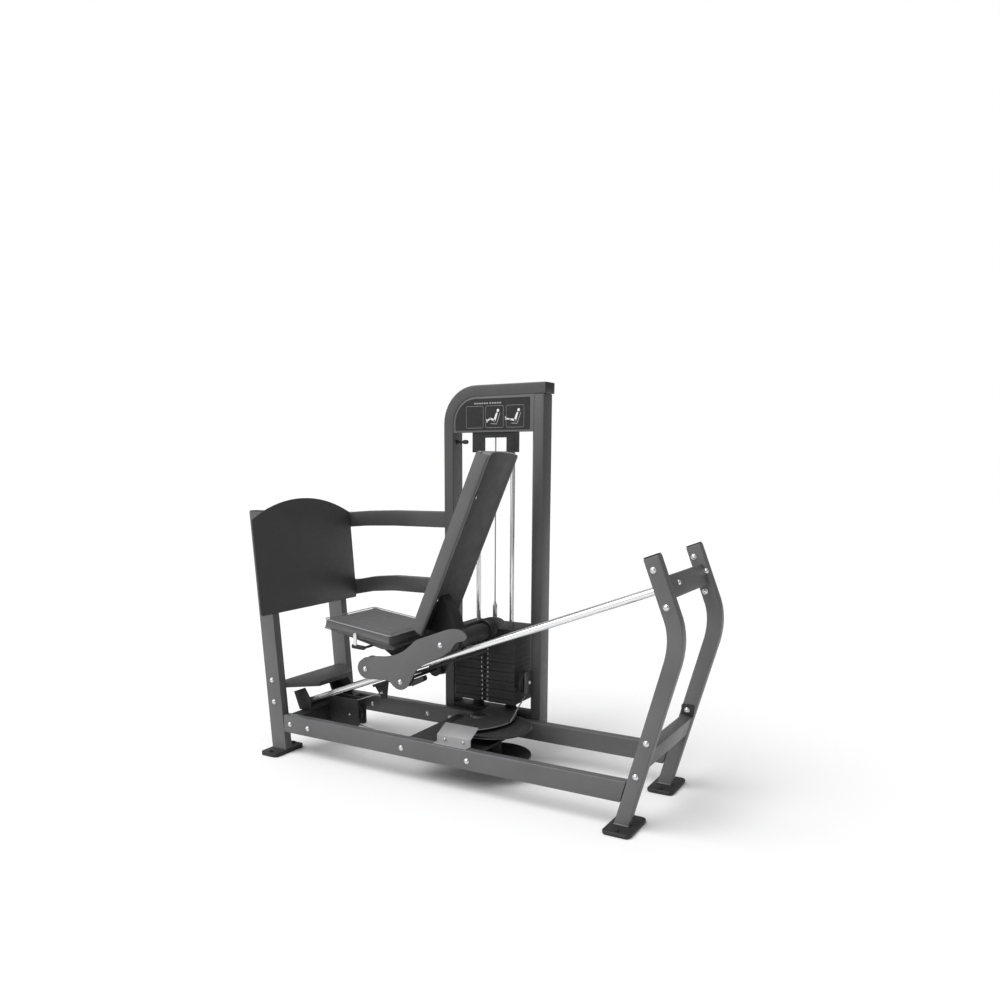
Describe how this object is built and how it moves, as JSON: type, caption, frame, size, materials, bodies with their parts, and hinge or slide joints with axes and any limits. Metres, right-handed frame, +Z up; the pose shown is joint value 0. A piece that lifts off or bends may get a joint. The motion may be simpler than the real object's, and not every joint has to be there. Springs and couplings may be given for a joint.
{
  "type": "leg press machine",
  "caption": "seated leg press with a sliding seat carriage on sloping guide tubes, a fixed foot plate and a weight stack tower joined by cables and a cam",
  "frame": {"origin": "middle of the bounding box at floor level", "axes": "+X from the foot plate to the rear legs, +Y toward the weight tower, +Z up"},
  "size_m": [1.9344, 0.702, 1.6],
  "materials": {
    "frame_paint": "dark grey metallic powder coat, satin",
    "black_paint": "black powder coat, satin",
    "dark_sheet": "dark grey powder coated sheet, satin",
    "chrome_tube": "hard chrome, polished",
    "plain_steel": "zinc plated steel",
    "wire_rope": "stranded wire in a clear jacket",
    "plate_iron": "black painted steel plate",
    "pad_cover": "dark grey upholstery vinyl over foam",
    "moulded_shell": "dark grey moulded shell",
    "nylon": "black nylon"
  },
  "bodies": {
    "frame": {"near_floor_rail": "frame_paint", "far_floor_rail": "frame_paint", "near_front_upright": "frame_paint", "far_front_upright": "frame_paint", "near_rear_leg": "frame_paint", "far_rear_leg": "frame_paint", "rear_top_crossmember": "frame_paint", "rear_lower_crossmember": "frame_paint", "upper_side_bar": "frame_paint", "lower_side_bar": "frame_paint", "tower_left_post": "frame_paint", "tower_right_post": "frame_paint", "cam_carrier_plate": "frame_paint", "cam_guard": "frame_paint", "front_crossmember": "black_paint", "guide_tube_mount": "black_paint", "stack_base_beam": "black_paint", "pulley_beam": "black_paint", "front_pulley_block": "black_paint", "foot_plate": "dark_sheet", "step_plate": "dark_sheet", "placard_panel": "dark_sheet", "near_guide_tube": "chrome_tube", "far_guide_tube": "chrome_tube", "left_stack_rod": "chrome_tube", "right_stack_rod": "chrome_tube", "press_cable": "wire_rope", "stack_cable": "wire_rope", "double_plate_01": "plate_iron", "double_plate_02": "plate_iron", "double_plate_03": "plate_iron", "double_plate_04": "plate_iron", "double_plate_05": "plate_iron", "pin_storage_hook": "nylon"},
    "trolley": {"trolley_bar": "plain_steel"},
    "carriage": {"near_side_plate": "frame_paint", "far_side_plate": "frame_paint", "carriage_frame": "black_paint", "seat_pad": "pad_cover", "seat_shell": "moulded_shell", "backrest_pad": "pad_cover", "backrest_shell": "moulded_shell"},
    "front_roller_set": {"front_rollers": "nylon"},
    "lower_roller_set": {"lower_rollers": "nylon"},
    "rear_roller_set": {"rear_rollers": "nylon"},
    "lever": {"seat_release_lever": "black_paint"},
    "lifted_stack": {"stack_top_plate": "plate_iron", "selector_rod": "plain_steel", "weight_plate_01": "plate_iron", "weight_plate_02": "plate_iron", "weight_plate_03": "plate_iron", "weight_plate_04": "plate_iron", "weight_plate_05": "plate_iron"},
    "pin": {"selector_pin": "nylon"},
    "cam": {"compound_cam": "dark_sheet"},
    "drum": {"lower_drum": "nylon"},
    "front_wheel": {"front_pulley": "nylon"},
    "left_upper_wheel": {"left_upper_pulley": "nylon"},
    "right_upper_wheel": {"right_upper_pulley": "nylon"},
    "lower_wheel": {"lower_pulley": "nylon"}
  },
  "joints": [
    {"name": "press_travel", "type": "slide", "parent": "frame", "child": "trolley", "axis": [0.9326, 0, 0.3608], "range_m": [0, 0.5], "deforming": ["press_cable", "stack_cable"]},
    {"name": "seat_adjust", "type": "slide", "parent": "trolley", "child": "carriage", "axis": [0.9326, 0, 0.3608], "range_m": [0, 0.15]},
    {"name": "front_roller_spin", "type": "hinge", "parent": "carriage", "child": "front_roller_set", "pos_m": [-0.421, -0.024, 0.4151], "axis": [0, 1, 0], "range_deg": [0, 690]},
    {"name": "lower_roller_spin", "type": "hinge", "parent": "carriage", "child": "lower_roller_set", "pos_m": [-0.2418, -0.024, 0.3815], "axis": [0, 1, 0], "range_deg": [-1100, 0]},
    {"name": "rear_roller_spin", "type": "hinge", "parent": "carriage", "child": "rear_roller_set", "pos_m": [0.0063, -0.024, 0.5772], "axis": [0, 1, 0], "range_deg": [0, 740]},
    {"name": "seat_lever_lift", "type": "hinge", "parent": "carriage", "child": "lever", "pos_m": [-0.4141, -0.0643, 0.51], "axis": [0, 1, 0], "range_deg": [0, 25]},
    {"name": "stack_lift", "type": "slide", "parent": "frame", "child": "lifted_stack", "axis": [0, 0, 1], "range_m": [0, 0.2]},
    {"name": "selector_pin_pull", "type": "slide", "parent": "lifted_stack", "child": "pin", "axis": [0, -1, 0], "range_m": [0, 0.012]},
    {"name": "cam_spin", "type": "hinge", "parent": "frame", "child": "cam", "pos_m": [0.0139, 0.026, 0.2], "axis": [0, 0, 1], "range_deg": [-80, 0]},
    {"name": "drum_spin", "type": "hinge", "parent": "frame", "child": "drum", "pos_m": [0.1289, -0.024, 0.087], "axis": [0, 0, 1], "range_deg": [-200, 0]},
    {"name": "front_pulley_spin", "type": "hinge", "parent": "frame", "child": "front_wheel", "pos_m": [-0.6201, -0.024, 0.153], "axis": [0, 1, 0], "range_deg": [0, 600]},
    {"name": "left_upper_pulley_spin", "type": "hinge", "parent": "frame", "child": "left_upper_wheel", "pos_m": [0.0009, 0.261, 1.46], "axis": [0, 1, 0], "range_deg": [0, 267]},
    {"name": "right_upper_pulley_spin", "type": "hinge", "parent": "frame", "child": "right_upper_wheel", "pos_m": [0.0949, 0.261, 1.46], "axis": [0, 1, 0], "range_deg": [0, 267]},
    {"name": "lower_pulley_spin", "type": "hinge", "parent": "frame", "child": "lower_wheel", "pos_m": [0.1379, 0.2123, 0.345], "axis": [1, 0, 0], "range_deg": [-236, 0]}
  ],
  "couplings": [
    {"joint": "stack_lift", "follows": "press_travel", "ratio": 0.4},
    {"joint": "front_roller_spin", "follows": "press_travel", "rad_per_m": 23.7},
    {"joint": "lower_roller_spin", "follows": "press_travel", "rad_per_m": -38.17},
    {"joint": "rear_roller_spin", "follows": "press_travel", "rad_per_m": 25.51},
    {"joint": "cam_spin", "follows": "press_travel", "rad_per_m": -2.79},
    {"joint": "drum_spin", "follows": "press_travel", "rad_per_m": -6.87},
    {"joint": "front_pulley_spin", "follows": "press_travel", "rad_per_m": 20.37},
    {"joint": "left_upper_pulley_spin", "follows": "press_travel", "rad_per_m": 9.3},
    {"joint": "right_upper_pulley_spin", "follows": "press_travel", "rad_per_m": 9.3},
    {"joint": "lower_pulley_spin", "follows": "press_travel", "rad_per_m": -8.21}
  ]
}
